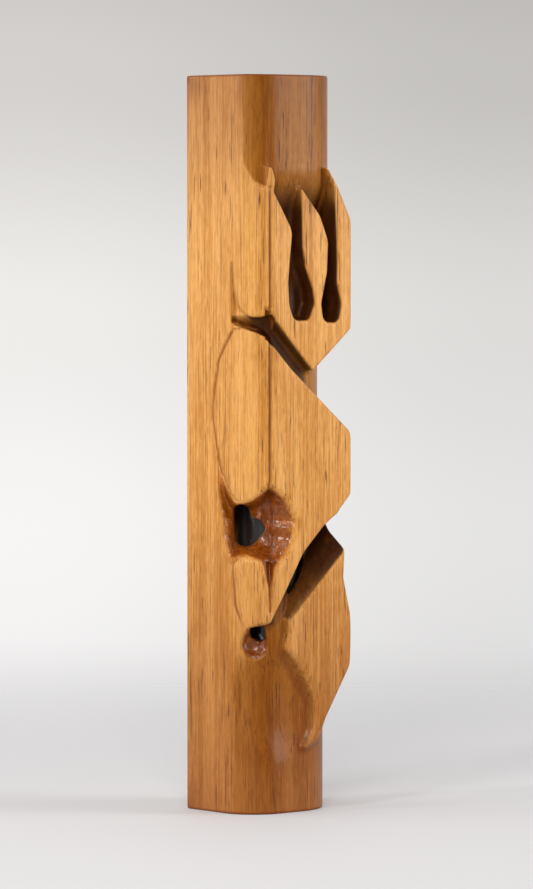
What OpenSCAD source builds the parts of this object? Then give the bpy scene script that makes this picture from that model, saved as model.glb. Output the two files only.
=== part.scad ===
// Carved wooden mezuzah case with its scroll tube, back cover and hangers.
// Frame: +Z up, front faces -Y, origin under the middle of the base.

/* [Body] */
// Width of the wooden body, side to side
body_w = 26; // [24:0.5:30]
// Depth from the back face to the front of the carved relief
body_d = 21.5; // [20.5:0.5:24]
// Overall height
body_h = 150; // [146:1:160]
// How far the ground of the carving lies behind the relief
relief_h = 1.5; // [1:0.1:2]
// Radius of the front corners of the upper ground
upper_corner_r = 9.5; // [6:0.5:11]
// Radius of the front corners of the lower ground
lower_corner_r = 11.5; // [8:0.5:12]
// Width of the slanted facet on the left edge of the relief
facet_w = 4.25; // [3:0.25:5]

/* [Scroll channel] */
// Radius of the round floor of the channel
channel_r = 7; // [6.8:0.1:7.2]
// Length of the channel
channel_l = 104; // [103:1:105]
// Distance from the back face to the channel's axis
channel_axis_in = 10.6; // [10.2:0.1:10.8]

/* [Scroll tube] */
// Outer radius of the tube
tube_r = 6.2; // [5.8:0.1:6.3]
// Wall of the tube
tube_wall = 0.6; // [0.5:0.1:0.8]
// Length of the bare tube
tube_l = 100.8; // [96:0.4:100.8]
// Depth of the skirt of each cap
cap_skirt = 7; // [5:0.5:10]
// Wall of the caps
cap_wall = 0.5; // [0.4:0.1:0.6]

/* [Parchment] */
// Height of the rolled sheet
scroll_l = 97; // [90:1:98]
// Inner radius of the roll
scroll_in_r = 1.9; // [1.5:0.1:2.5]
// Step of the roll from one turn to the next
scroll_pitch = 0.62; // [0.5:0.02:0.7]
// Thickness of the sheet
sheet_t = 0.36; // [0.3:0.02:0.4]
// Turns in the roll
scroll_turns = 4.5; // [3:0.25:4.75]

/* [Back cover] */
// Width of the cover
cover_w = 18; // [17:0.5:19]
// Length of the cover
cover_l = 116; // [115:0.5:117]
// Thickness of the cover
cover_t = 3; // [2.5:0.1:3]
// Gap round the edge of the cover
cover_gap = 0.15; // [0.1:0.05:0.3]

/* [Hangers] */
// Width of each hanger plate
hanger_w = 20; // [19:0.5:21]
// Height of each hanger plate
hanger_h = 12.5; // [12:0.25:13]
// Thickness of each hanger plate
hanger_t = 1.2; // [1:0.1:1.5]
// Radius of the entry hole for the head of a wall screw
key_r = 3.5; // [3:0.1:3.8]
// Width of the slot above the entry hole
key_slot_w = 3.4; // [3:0.1:3.6]

/* [Screws] */
// Radius of the screw heads
head_r = 2; // [1.8:0.1:2.1]
// Outer radius of the threads
thread_r = 1.1; // [1:0.05:1.2]
// Length of the screws
screw_l = 8; // [7:0.5:9]

/* [Hidden] */
$fn = 64;
over = 1;                                  // how far a cut runs past a face
back_y = body_d / 2;
front_y = -body_d / 2;
side_x = body_w / 2;
ground_y = front_y + relief_h;
axis_y = back_y - channel_axis_in;
channel_z = (body_h - channel_l) / 2;
split_z = body_h / 2;                      // the ground changes section behind the middle form
lower_front_y = ground_y + 0.35;
cut_y = axis_y - channel_r - 0.35;         // floor of the carved channels, short of the scroll channel
slot_y = front_y + 2.6;                    // floor of the slots between the fingers
relief_in = 4;                             // the forms run back to this depth inside the block
bowl_at = [-11.6, -9.3, 58.4];
bowl_r = 9.1;
peep_at = [-10.6, -8.9, 36.8];
peep_r = 1.5;
peep_l = 20;
spoon_z = 22.5;
spoon_r = 40;
spoon_depth = 1.5;
spoon_turn = 26;                           // how far round from the front the spoon looks
cover_y = back_y - cover_t;
cover_z = (body_h - cover_l) / 2;
seat_gap = 0.05;                           // below the cover, where it lies on its ledge
cap_gap = 0.05;
cap_r = tube_r + cap_gap + cap_wall;
cap_end_t = 0.8;
tube_z = (body_h - tube_l) / 2;
scroll_z = (body_h - scroll_l) / 2;
band_h = 8;
band_t = 0.25;
band_gap = 0.05;
hanger_low_z = 2.5;
hanger_top_z = body_h - hanger_h - hanger_low_z;
hanger_gap = 0.1;                          // between a plate and the edge of its recess
key_z = 4.2;                               // entry hole above the plate's lower edge
key_rise = 5;                              // entry hole to the top of the slot's travel
key_clear = 0.3;                           // round the head of a wall screw
head_room = 5;                             // depth cut behind a plate for a screw head
pilot_gap = 0.2;
fit = 0.03;                                // clearance of a screw head in its countersink
head_rim = 0.15;                           // straight edge of a screw head above its cone
head_h = head_r - thread_r + 2 * head_rim;
screw_tip = 1.2;                           // bare point below the last turn of the thread
thread_turns = 6;
thread_d = 0.3;                            // depth of the thread
nick_w = 0.5;                              // width and depth of the slot in a screw head
cover_screw_x = 5.6;
cover_screw_in = 3;                        // from the ends of the cover
cover_screw_z = [cover_z + cover_screw_in, body_h - cover_z - cover_screw_in];
hanger_screw_x = 7.4;
hanger_screw_z = [hanger_low_z + hanger_h / 2, hanger_top_z + hanger_h / 2];

// ---- outlines, each point [x, z, corner radius], seen from the front ----

// Upper and middle forms as one raised field, before the channels part it
field_line = [
    [-14, 127, 0], [-10.4, 128.6, 1], [-8.9, 131.4, 0], [7, 130.8, 0.4], [9.2, 127.8, 1],
    [14.5, 118.3, 0], [14.5, 58, 0], [4, 50, 0], [-6, 38.4, 0], [-9.4, 38.4, 0], [-14, 37.4, 0]];

// Lower form: a waved blade that leans to the right
blade_line = [
    [13, 57, 0], [0, 46, 0], [-4, 42, 0], [-3, 37, 0], [-1.6, 35, 2], [3.5, 23.6, 5],
    [1, 15, 8], [-3.4, 9.8, 0.3], [4.6, 13.6, 3], [5.6, 19, 3], [13.4, 31, 5],
    [13.4, 38.4, 3], [10.9, 47.8, 4]];

// The two slots that part the top of the upper form into three fingers
finger_gaps = [
    [-9.1, 132.6, 0], [-6.2, 124, 4], [-2.8, 119, 3], [-4.1, 106.5, 4], [-3.2, 100.6, 2],
    [2.5, 100.6, 2.2], [-0.2, 112, 8], [-0.5, 127.8, 0.1], [6.6, 119.2, 3], [6.4, 109, 8],
    [5, 103.5, 2], [5.9, 100, 1.6], [10.4, 100, 1.8], [9.2, 107, 4], [8.6, 126.8, 2], [6.6, 132.6, 0]];

// Channel between the upper form and the middle form
upper_cut = [
    [-14.5, 101.4, 0], [-7.8, 100.2, 2], [2.5, 89.6, 0.8], [12.4, 98.2, 1], [14.5, 102, 0],
    [14.5, 75, 0], [12.6, 78.4, 1], [-3, 90.4, 4], [-9, 96.8, 2], [-14.5, 99.6, 0]];

// Channel between the middle form and the lower form
lower_cut = [
    [14.5, 65, 0], [12.6, 62.4, 1], [3.6, 56.4, 5], [-2.4, 48.2, 6], [-8.8, 38.6, 1],
    [-5.4, 36.4, 1], [-2.4, 36.2, 1], [-2.4, 40.4, 2], [2.4, 45.2, 4], [11.4, 53.8, 0.5],
    [14.5, 54.4, 0]];

// Slot through the floor of the upper channel that shows the tube
slit_line = [[-5.4, 93, 0.5], [-4, 93, 0.5], [0.5, 87.8, 0.5], [-0.9, 87.8, 0.5]];

function flat(p) = [p[0], p[1]];
function unit(v) = v / norm(v);

// An arc of radius r in the corner at b, between the edges to a and c
function corner(a, b, c, r, steps = 5) =
    let (to_a = unit(a - b), to_c = unit(c - b), half = acos(to_a * to_c) / 2,
        reach = r / tan(half), mid = b + unit(to_a + to_c) * r / sin(half),
        first = b + to_a * reach - mid, last = b + to_c * reach - mid,
        start = atan2(first[1], first[0]), swing = atan2(last[1], last[0]) - start,
        turn = swing > 180 ? swing - 360 : swing < -180 ? swing + 360 : swing)
    [for (i = [0 : steps]) mid + r * [cos(start + turn * i / steps), sin(start + turn * i / steps)]];

function rounded(line) = let (n = len(line)) [for (i = [0 : n - 1])
    let (p = line[i], a = flat(line[(i + n - 1) % n]), c = flat(line[(i + 1) % n]))
    each (p[2] == 0 ? [flat(p)] : corner(a, flat(p), c, p[2]))];

// One turn of a coil is 360 degrees; a point on the sheet's inner or outer face
function coil_point(a, side) = let (r = scroll_in_r + scroll_pitch * a / 360 + side * sheet_t)
    [r * cos(a), r * sin(a)];

// ---- helpers ----

// The outline, drawn on the front and run back from y = near to y = far
module from_front(line, near, far) {
    translate([0, far, 0])
        rotate([90, 0, 0])
            linear_extrude(height = far - near)
                polygon(rounded(line));
}

// A flat board in the XZ plane whose thickness runs from y = near to y = far
module board(w, z, h, near, far) {
    translate([-w / 2, near, z])
        cube([w, far - near, h]);
}

// Section of the ground: a rectangle whose two front corners are quarter circles
module ground_section(front, r_left, r_right) {
    difference() {
        translate([-side_x, front])
            square([body_w, back_y - front]);
        translate([-side_x, front])
            corner_waste(r_left);
        translate([side_x, front])
            mirror([1, 0])
                corner_waste(r_right);
    }
}

// What a rounded corner at the origin takes off a square one
module corner_waste(r) {
    difference() {
        translate([-over, -over])
            square([r + over, r + over]);
        translate([r, r])
            circle(r = r);
    }
}

// Section of the relief: full size, with a slanted facet on its left edge
module relief_section() {
    polygon([[-side_x, back_y], [-side_x, front_y + facet_w], [-side_x + facet_w, front_y],
        [side_x, front_y], [side_x, back_y]]);
}

// Places a child at each screw: x to both sides of the middle, at each height in a list
module at_screws(x, heights, y) {
    for (z = heights, side = [-1, 1])
        translate([side * x, y, z])
            rotate([-90, 0, 0])
                children();
}

// A countersunk slotted wood screw with its head's face at z = 0 and its point at -Z
module wood_screw() {
    pitch = (screw_l - head_h - screw_tip) / thread_turns;
    core_r = thread_r - thread_d;
    turn = [[core_r, 0.15], [thread_r, 0.55], [core_r, 0.95]];
    difference() {
        rotate_extrude()
            polygon([[0, 0], [head_r, 0], [head_r, -head_rim], [thread_r, -head_h],
                for (i = [0 : thread_turns - 1], p = turn) [p[0], -head_h - pitch * (i + p[1])],
                [0, -screw_l]]);
        translate([-head_r - over, -nick_w / 2, -nick_w])
            cube([2 * (head_r + over), nick_w, nick_w + over]);
    }
}

// The hole for that screw: a countersink in a board, then a straight hole
module screw_hole(gap, hole_l) {
    translate([0, 0, -hole_l])
        cylinder(r = thread_r + gap, h = hole_l + over);
    translate([0, 0, -head_h - fit])
        cylinder(r1 = thread_r + fit, r2 = head_r + fit, h = head_h - head_rim + fit);
    translate([0, 0, -head_rim - fit])
        cylinder(r = head_r + fit, h = over);
}

// ---- wood ----

module ground_block() {
    linear_extrude(height = split_z)
        ground_section(lower_front_y, lower_corner_r, lower_corner_r);
    translate([0, 0, split_z])
        linear_extrude(height = body_h - split_z)
            ground_section(ground_y, facet_w, upper_corner_r);
}

module relief() {
    intersection() {
        linear_extrude(height = body_h)
            relief_section();
        union() {
            from_front(field_line, front_y - over, relief_in);
            from_front(blade_line, front_y - over, relief_in);
        }
    }
}

// Round gouged bowl on the left edge, deep enough to open into the scroll channel
module bowl() {
    translate(bowl_at)
        sphere(r = bowl_r);
}

// Small hole bored through the left edge below the middle form
module peep_hole() {
    translate(peep_at)
        rotate([90, 0, -45])
            translate([0, 0, -peep_l / 2])
                cylinder(r = peep_r, h = peep_l);
}

// Shallow spoon-shaped hollow in the rounded corner beside the lower form
module spoon_hollow() {
    translate([lower_corner_r - side_x, lower_front_y + lower_corner_r, spoon_z])
        rotate([0, 0, -spoon_turn])
            translate([0, spoon_depth - spoon_r - lower_corner_r, 0])
                sphere(r = spoon_r);
}

module scroll_channel() {
    translate([0, axis_y, channel_z])
        cylinder(r = channel_r, h = channel_l);
    board(2 * channel_r, channel_z, channel_l, axis_y, back_y + over);
}

// Recess for one hanger plate, with room behind it for the head and shank of a wall screw
module hanger_recess(z) {
    board(hanger_w + 2 * hanger_gap, z - hanger_gap, hanger_h + 2 * hanger_gap, back_y - hanger_t,
        back_y + over);
    translate([0, back_y - head_room, z + key_z])
        rotate([-90, 0, 0])
            cylinder(r = key_r + key_clear, h = head_room);
    board(2 * key_r, z + key_z, key_rise, back_y - head_room, back_y);
}

module case_body() {
    color("#c8894c")
        difference() {
            union() {
                ground_block();
                relief();
            }
            from_front(upper_cut, front_y - over, cut_y);
            from_front(lower_cut, front_y - over, cut_y);
            from_front(finger_gaps, front_y - over, slot_y);
            from_front(slit_line, front_y, axis_y);
            bowl();
            peep_hole();
            spoon_hollow();
            scroll_channel();
            board(cover_w + 2 * cover_gap, cover_z - cover_gap, cover_l + 2 * cover_gap,
                cover_y - seat_gap, back_y + over);
            at_screws(cover_screw_x, cover_screw_z, back_y)
                translate([0, 0, -screw_l - thread_d])
                    cylinder(r = thread_r + pilot_gap, h = screw_l);
            hanger_recess(hanger_low_z);
            hanger_recess(hanger_top_z);
            at_screws(hanger_screw_x, hanger_screw_z, back_y)
                translate([0, 0, -screw_l])
                    cylinder(r = thread_r + fit, h = screw_l);
        }
}

module back_cover() {
    color("#bd8046")
        difference() {
            board(cover_w, cover_z, cover_l, cover_y, back_y);
            at_screws(cover_screw_x, cover_screw_z, back_y)
                screw_hole(fit, cover_t + over);
        }
}

// ---- scroll and its tube ----

module scroll_tube() {
    color("#1c1a19")
        translate([0, axis_y, tube_z])
            difference() {
                cylinder(r = tube_r, h = tube_l);
                translate([0, 0, -over])
                    cylinder(r = tube_r - tube_wall, h = tube_l + 2 * over);
            }
}

// A push-on cap with its closed end up and its inner end face at z = 0
module tube_cap() {
    color("#26221f")
        difference() {
            translate([0, 0, -cap_skirt])
                cylinder(r = cap_r, h = cap_skirt + cap_end_t);
            translate([0, 0, -cap_skirt - over])
                cylinder(r = cap_r - cap_wall, h = cap_skirt + over);
        }
}

module tube_cap_top() {
    translate([0, axis_y, tube_z + tube_l])
        tube_cap();
}

module tube_cap_bottom() {
    translate([0, axis_y, tube_z])
        mirror([0, 0, 1])
            tube_cap();
}

module parchment_scroll() {
    last = 360 * scroll_turns;
    color("#eadcb8")
        translate([0, axis_y, scroll_z])
            linear_extrude(height = scroll_l)
                polygon([
                    for (a = [0 : 15 : last]) coil_point(a, 0),
                    for (a = [last : -15 : 0]) coil_point(a, 1)]);
}

// Narrow paper band that keeps the sheet rolled
module scroll_band() {
    roll_r = scroll_in_r + scroll_pitch * scroll_turns + sheet_t;
    color("#f4efe2")
        translate([0, axis_y, (body_h - band_h) / 2])
            difference() {
                cylinder(r = roll_r + band_gap + band_t, h = band_h);
                translate([0, 0, -over])
                    cylinder(r = roll_r + band_gap, h = band_h + 2 * over);
            }
}

// ---- hangers ----

module hanger_plate(z) {
    color("#c9a24e")
        difference() {
            board(hanger_w, z, hanger_h, back_y - hanger_t, back_y);
            translate([0, back_y - hanger_t - over, z + key_z])
                rotate([-90, 0, 0])
                    cylinder(r = key_r, h = hanger_t + 2 * over);
            board(key_slot_w, z + key_z, key_rise, back_y - hanger_t - over, back_y + over);
            translate([0, back_y - hanger_t - over, z + key_z + key_rise])
                rotate([-90, 0, 0])
                    cylinder(r = key_slot_w / 2, h = hanger_t + 2 * over);
            at_screws(hanger_screw_x, [z + hanger_h / 2], back_y)
                screw_hole(fit, hanger_t + over);
        }
}

module hanger_plate_top() hanger_plate(hanger_top_z);

module hanger_plate_bottom() hanger_plate(hanger_low_z);

// ---- screws ----

module cover_screws() {
    color("#b8923f")
        at_screws(cover_screw_x, cover_screw_z, back_y)
            wood_screw();
}

module hanger_screws() {
    color("#b8923f")
        at_screws(hanger_screw_x, hanger_screw_z, back_y)
            wood_screw();
}

case_body();
back_cover();
cover_screws();
scroll_tube();
tube_cap_top();
tube_cap_bottom();
parchment_scroll();
scroll_band();
hanger_plate_top();
hanger_plate_bottom();
hanger_screws();
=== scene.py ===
"""Looks of the carved wooden mezuzah case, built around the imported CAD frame.

Lengths in the shape code are millimetres, in the frame's own axes: +Z up, front towards -Y.
"""

import math

import bmesh
import bpy
import numpy as np
import openvdb
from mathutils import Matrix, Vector


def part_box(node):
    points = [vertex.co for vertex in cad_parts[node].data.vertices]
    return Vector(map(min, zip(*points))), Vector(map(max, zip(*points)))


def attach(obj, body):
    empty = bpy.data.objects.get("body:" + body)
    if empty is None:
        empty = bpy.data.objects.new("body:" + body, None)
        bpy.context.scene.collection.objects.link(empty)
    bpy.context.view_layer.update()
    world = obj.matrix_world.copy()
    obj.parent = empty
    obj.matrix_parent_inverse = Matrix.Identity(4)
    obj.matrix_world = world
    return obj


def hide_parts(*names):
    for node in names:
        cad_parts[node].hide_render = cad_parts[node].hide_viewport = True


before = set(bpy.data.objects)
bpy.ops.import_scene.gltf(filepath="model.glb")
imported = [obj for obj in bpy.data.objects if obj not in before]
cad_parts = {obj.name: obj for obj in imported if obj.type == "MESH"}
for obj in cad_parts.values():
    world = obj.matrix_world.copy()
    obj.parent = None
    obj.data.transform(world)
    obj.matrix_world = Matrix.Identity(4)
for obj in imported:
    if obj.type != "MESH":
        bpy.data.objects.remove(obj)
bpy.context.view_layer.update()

MM = 0.001


def corners_mm(node):
    low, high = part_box(node)
    return np.array(low) / MM, np.array(high) / MM


# ---- camera, at the photograph's angle ----

CAMERA_AZIMUTH = math.radians(-41)
CAMERA_DISTANCE = 1.05
CAMERA_HEIGHT = 0.120
CAMERA_LENS = 208.0
SENSOR = 36
AIM_HEIGHT = 0.0747
AIM_SIDE = -0.0005


def add_camera():
    away = Vector((math.sin(CAMERA_AZIMUTH), -math.cos(CAMERA_AZIMUTH), 0))
    right = Vector((math.cos(CAMERA_AZIMUTH), math.sin(CAMERA_AZIMUTH), 0))
    aim = right * AIM_SIDE + Vector((0, 0, AIM_HEIGHT))
    data = bpy.data.cameras.new("camera")
    data.lens = CAMERA_LENS
    data.sensor_width = SENSOR
    data.clip_start = 0.01
    data.clip_end = 20
    camera = bpy.data.objects.new("camera", data)
    bpy.context.scene.collection.objects.link(camera)
    camera.location = aim + away * CAMERA_DISTANCE + Vector((0, 0, CAMERA_HEIGHT - AIM_HEIGHT))
    camera.rotation_euler = (aim - camera.location).to_track_quat("-Z", "Y").to_euler()
    bpy.context.scene.camera = camera


add_camera()


# ---- the block's own sizes, read from the frame ----

LOW, HIGH = corners_mm("case_body")
SIDE = HIGH[0]
BACK = HIGH[1]
FRONT = LOW[1]
TOP = HIGH[2]
TUBE_LOW, TUBE_HIGH = corners_mm("scroll_tube")
AXIS_Y = (TUBE_LOW[1] + TUBE_HIGH[1]) / 2
BORE_R = 7.0
CELL = 0.22
MARGIN = 4 * CELL


# ---- outlines ----

def arc_corner(before, corner, after, radius):
    """Points of an arc of the given radius that rounds a corner."""
    before, corner, after = (np.array(p[:2], float) for p in (before, corner, after))
    to_before = (before - corner) / np.linalg.norm(before - corner)
    to_after = (after - corner) / np.linalg.norm(after - corner)
    half = math.acos(float(np.clip(to_before @ to_after, -1, 1))) / 2
    middle = to_before + to_after
    centre = corner + middle / np.linalg.norm(middle) * radius / math.sin(half)
    first = corner + to_before * radius / math.tan(half) - centre
    last = corner + to_after * radius / math.tan(half) - centre
    start = math.atan2(first[1], first[0])
    turn = (math.atan2(last[1], last[0]) - start + math.pi) % (2 * math.pi) - math.pi
    steps = 3 + int(abs(turn) * (6 + 2 * radius))
    angles = start + turn * np.linspace(0, 1, steps + 1)
    return centre + radius * np.stack([np.cos(angles), np.sin(angles)], 1)


def rounded(line):
    """A closed outline from corners given as (a, b) or (a, b, radius)."""
    points = []
    for i, corner in enumerate(line):
        if len(corner) == 2:
            points.append(np.array([corner], float))
        else:
            points.append(arc_corner(line[i - 1], corner, line[(i + 1) % len(line)], corner[2]))
    return np.concatenate(points)


def distance_2d(a, b, line):
    """Signed distance from each point of the grid a, b to a closed outline, negative inside."""
    points = rounded(line)
    nearest = np.full(np.broadcast(a, b).shape, np.inf)
    inside = np.zeros(nearest.shape, bool)
    for (a0, b0), (a1, b1) in zip(points, np.roll(points, -1, 0)):
        da, db = a1 - a0, b1 - b0
        along = np.clip(((a - a0) * da + (b - b0) * db) / max(da * da + db * db, 1e-12), 0, 1)
        nearest = np.minimum(nearest, (a - a0 - along * da) ** 2 + (b - b0 - along * db) ** 2)
        if db:
            crosses = ((b0 > b) != (b1 > b)) & (a < a0 + (b - b0) * da / db)
            inside ^= crosses
    return (np.where(inside, -1, 1) * np.sqrt(nearest)).astype(np.float32)


# ---- the grid that the block is carved on ----

def axis(low, high):
    return np.arange(low - MARGIN, high + MARGIN + CELL, CELL, dtype=np.float32)


XS, YS, ZS = axis(-SIDE, SIDE), axis(FRONT, BACK), axis(0, TOP)
X, Y, Z = XS[:, None, None], YS[None, :, None], ZS[None, None, :]

# The left edge is carved along a line turned 41 degrees from the front: Q runs across it and T out of it
TURN = math.radians(41)
Q2 = (X * math.cos(TURN) - Y * math.sin(TURN))[:, :, 0]
T = -X * math.sin(TURN) - Y * math.cos(TURN)
QS = np.arange(Q2.min() - CELL, Q2.max() + 2 * CELL, CELL, dtype=np.float32)
Q_CELL = ((Q2 - QS[0]) / CELL).astype(np.int32)
Q_PART = ((Q2 - QS[0]) / CELL - Q_CELL)[:, :, None].astype(np.float32)


def spread(table):
    """A table over QS and ZS, read at every cell of the grid."""
    return table[Q_CELL] * (1 - Q_PART) + table[Q_CELL + 1] * Q_PART


def on_front(line):
    """Distance to an outline (x, z) drawn on the front face and run straight back."""
    return distance_2d(XS[:, None], ZS[None, :], line)[:, None, :]


def on_corner(line):
    """Distance to an outline (q, z) drawn on the left edge, as a table over QS and ZS."""
    return distance_2d(QS[:, None], ZS[None, :], line)


def soften(table, reach):
    """A table over QS and ZS with its creases smoothed over a reach in millimetres."""
    weights = np.hanning(2 * int(reach / CELL) + 3)
    weights /= weights.sum()
    for way in (0, 1):
        table = np.apply_along_axis(np.convolve, way, table, weights, "same")
    return table.astype(np.float32)


def section(line):
    """Distance to an outline (x, y) run straight up."""
    return distance_2d(XS[:, None], YS[None, :], line)[:, :, None]


def join(a, b, blend):
    """Both solids together, with a fillet where they meet."""
    h = np.maximum(blend - np.abs(a - b), 0) / blend
    return np.minimum(a, b) - h * h * (blend / 4)


def meet(a, b, blend):
    """What two solids share, with a rounded edge where they meet."""
    h = np.maximum(blend - np.abs(a - b), 0) / blend
    return np.maximum(a, b) + h * h * (blend / 4)


def ramp(value, low, high):
    """0 below low, 1 above high, smooth between."""
    t = np.clip((value - low) / (high - low), 0, 1)
    return t * t * (3 - 2 * t)


def fall(value, low, high):
    """1 below low, 0 above high, smooth between."""
    return 1 - ramp(value, low, high)


def dent(distance, width):
    """1 on a line, 0 at width from it."""
    return 1 - ramp(np.abs(distance), 0, width)


# ---- the block before carving ----

ARRIS_X = -8.8
UPPER_GROUND = [
    (-SIDE, BACK, 0.25), (-SIDE, -6.8, 0.5), (-9.6, -9.3, 12.5), (2, -9.85, 50), (SIDE, -9.3, 10.4),
    (SIDE, BACK, 0.25)]
LOWER_GROUND = [(-SIDE, BACK, 0.25), (-SIDE, -9.1, 8), (SIDE, -9.1, 11.6), (SIDE, BACK, 0.25)]
BLOCK = [(-SIDE, BACK, 0.25), (-SIDE, FRONT), (SIDE, FRONT), (SIDE, BACK, 0.25)]
RELIEF = [
    (-SIDE + 0.9, BACK), (-SIDE + 0.9, -7.4, 3), (ARRIS_X, FRONT, 0.2), (SIDE, FRONT, 0.25), (SIDE, BACK)]
GROUND_CHANGE_Z = (36, 52)
END_EDGE = 0.45


def ground_field():
    """The block as it is between the raised forms: keener edges above, rounder below."""
    upper, lower = section(UPPER_GROUND), section(LOWER_GROUND)
    return lower + (upper - lower) * ramp(Z, *GROUND_CHANGE_Z)


def ends_field():
    """Slab between the two end faces."""
    return np.maximum(-Z, Z - TOP)


# ---- raised forms ----

FIELD_FRONT = [
    (-8.9, 131.3), (7, 131.2, 0.8), (9.6, 127.6, 1), (13.3, 120.6, 1.2), (14.5, 118),
    (14.5, 66), (12.9, 63.8), (0.4, 52.6), (-4.8, 44), (-8.9, 38)]
FIELD_CORNER = [
    (-30, 136), (-6.4, 134), (-5.2, 131.6, 2), (-3.2, 128.2, 1), (-0.8, 127.4, 0.4), (-0.2, 131, 0.3),
    (1, 131.2), (1, 38.8), (-2.2, 38.5), (-4.6, 37.6, 0.6), (-6.3, 41, 2), (-7.2, 46, 3),
    (-30, 52)]
BLADE_FRONT = [
    (9, 61), (0, 47), (-4, 42), (-3.6, 37), (-4.6, 33.4, 1.5), (-0.8, 28.3, 4), (2.8, 22.4, 6), (2, 16, 6),
    (-2, 10.6, 1), (4.8, 14, 2), (6.4, 19, 3), (13, 29.4, 6), (13.9, 36.8, 6), (11.2, 47.4, 6),
    (11.6, 54), (11.7, 61)]
FORM_RIM, FORM_FOOT = 1.0, 0.9
BLADE_RIM, BLADE_WORN_RIM = 0.8, 2.2
BLADE_WORN_DOWN, BLADE_WORN_X = (-36, -30), (3.5, 6.5)


def field_outline():
    return np.minimum(on_front(FIELD_FRONT), spread(on_corner(FIELD_CORNER)))


def raised_forms(ground, block):
    """The ground with the forms standing on it; the lower left rim of the blade is worn soft."""
    solid = join(ground, meet(block, field_outline(), FORM_RIM), FORM_FOOT)
    worn = ramp(-Z, *BLADE_WORN_DOWN) * fall(X, *BLADE_WORN_X)
    blade = meet(block, on_front(BLADE_FRONT), BLADE_RIM + BLADE_WORN_RIM * worn)
    return join(solid, blade, FORM_FOOT)


# ---- channels ----

THINNEST_WALL = 0.5
CUT_RIM, FLOOR_FILLET = 0.6, 0.6
WALL_LEAN = 0.1

FINGER_GAPS = [
    (-9.4, 135), (-8.5, 131.4, 0.6), (-7.5, 128.6, 0.8), (-7.8, 126.2, 1), (-5.8, 123.2, 4),
    (-2.8, 118.4, 4), (-3.9, 108, 6), (-3.6, 103.4, 3), (-2.4, 100.3, 1.7), (1.5, 100.3, 1.7),
    (3, 103.6, 2), (2.5, 106.5, 4), (0.5, 111, 6), (-0.2, 115, 5), (-0.5, 127.2, 0.2), (4.6, 121.6, 6),
    (6.9, 116.4, 5), (6.6, 110, 6), (5, 103.6, 3), (5.6, 99.9, 1.7), (9.6, 99.7, 1.7), (10.3, 103.4, 2),
    (9.6, 106, 3), (9.1, 107.8, 2), (9.2, 112, 4), (8.5, 127.4, 0.6), (6.6, 131, 0.4), (6, 135)]
FINGER_FLOOR, FINGER_FLOOR_Z = 3.4, (117, 131)
FINGER_CLOSED, FINGER_OPEN_Z = 1.02, (126, 131)

UPPER_CHANNEL_FRONT = [
    (-9.4, 103), (-7.8, 100.6, 3), (2.6, 89.8, 0.8), (12.8, 98.2, 1.6), (14.5, 101),
    (14.5, 74.4), (12.6, 77.6, 1.6), (-2.8, 90.2, 5), (-8.8, 96, 2), (-9.4, 96.6)]
UPPER_CHANNEL_CORNER = [
    (-7.5, 112), (-7.1, 106.6, 4), (-6.2, 103, 3), (-4.2, 100.9, 3), (-1.2, 100.9, 3),
    (0.3, 101.9, 0.8), (1.2, 100.6), (1.2, 96), (-0.6, 97, 1), (-2.7, 98, 2), (-5.5, 98.9, 2),
    (-7.5, 99.8, 0.5)]
LIP_X, LIP_Z, LIP_SINE, LIP_COSINE, LOBE_FOOT_Z = -7.8, 100.9, 0.72, 0.693, 101.2
UPPER_START, UPPER_SLOPE, UPPER_DEEPEST, UPPER_SLOPE_X = 0.1, 0.85, 3.8, (-0.4, 1.4)
UPPER_FLOOR, UPPER_FLOOR_LEFT, UPPER_FLOOR_RIGHT = 0.6, 0.7, 0.8
UPPER_FILLET = 0.9

LOWER_CHANNEL = [
    (14.5, 66.4), (12.9, 64.2, 1), (10.6, 61.5, 3), (5.6, 58.1, 3), (0.4, 53.1, 8), (-4.5, 45.3, 8),
    (-8.9, 38.5, 0.6), (-8, 36), (-2.6, 35.4, 1), (-2.4, 39, 2), (1, 41), (14.5, 52)]
BLADE_TOP_Z, BLADE_TOP_X = 40.4, -2.4
BLADE_RISE, BLADE_DRAFT = 0.93, 0.72
LOWER_FLOOR, LOWER_FLOOR_X, LOWER_FILLET = 4.5, (-5, 2), 0.5


def cut(solid, outline, floor, edge, fillet):
    """Carves the outline out of a solid, down to the surface of another solid, its floor."""
    return meet(solid, join(-outline, floor, fillet), edge)


def bore_wall():
    """Distance to the scroll channel, with the thinnest wood left in front of it."""
    return np.sqrt(X ** 2 + (Y - AXIS_Y) ** 2) - BORE_R - THINNEST_WALL


def blade_top():
    """The wall under the lower channel: it climbs to the right, and as it goes in."""
    height = BLADE_TOP_Z + BLADE_RISE * (X - BLADE_TOP_X) + BLADE_DRAFT * (Y - FRONT)
    return (Z - height) / math.sqrt(1 + BLADE_RISE ** 2 + BLADE_DRAFT ** 2)


def below_lip():
    """How far each point lies below the upper lip of the upper channel, where its floor starts."""
    front = -LIP_SINE * (X - LIP_X) - LIP_COSINE * (Z - LIP_Z)
    side = ramp(Q2, -1, 1)[:, :, None]
    return front * side + (LOBE_FOOT_Z - Z) * (1 - side)


def upper_channel():
    return np.minimum(on_front(UPPER_CHANNEL_FRONT), spread(on_corner(UPPER_CHANNEL_CORNER)))


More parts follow.
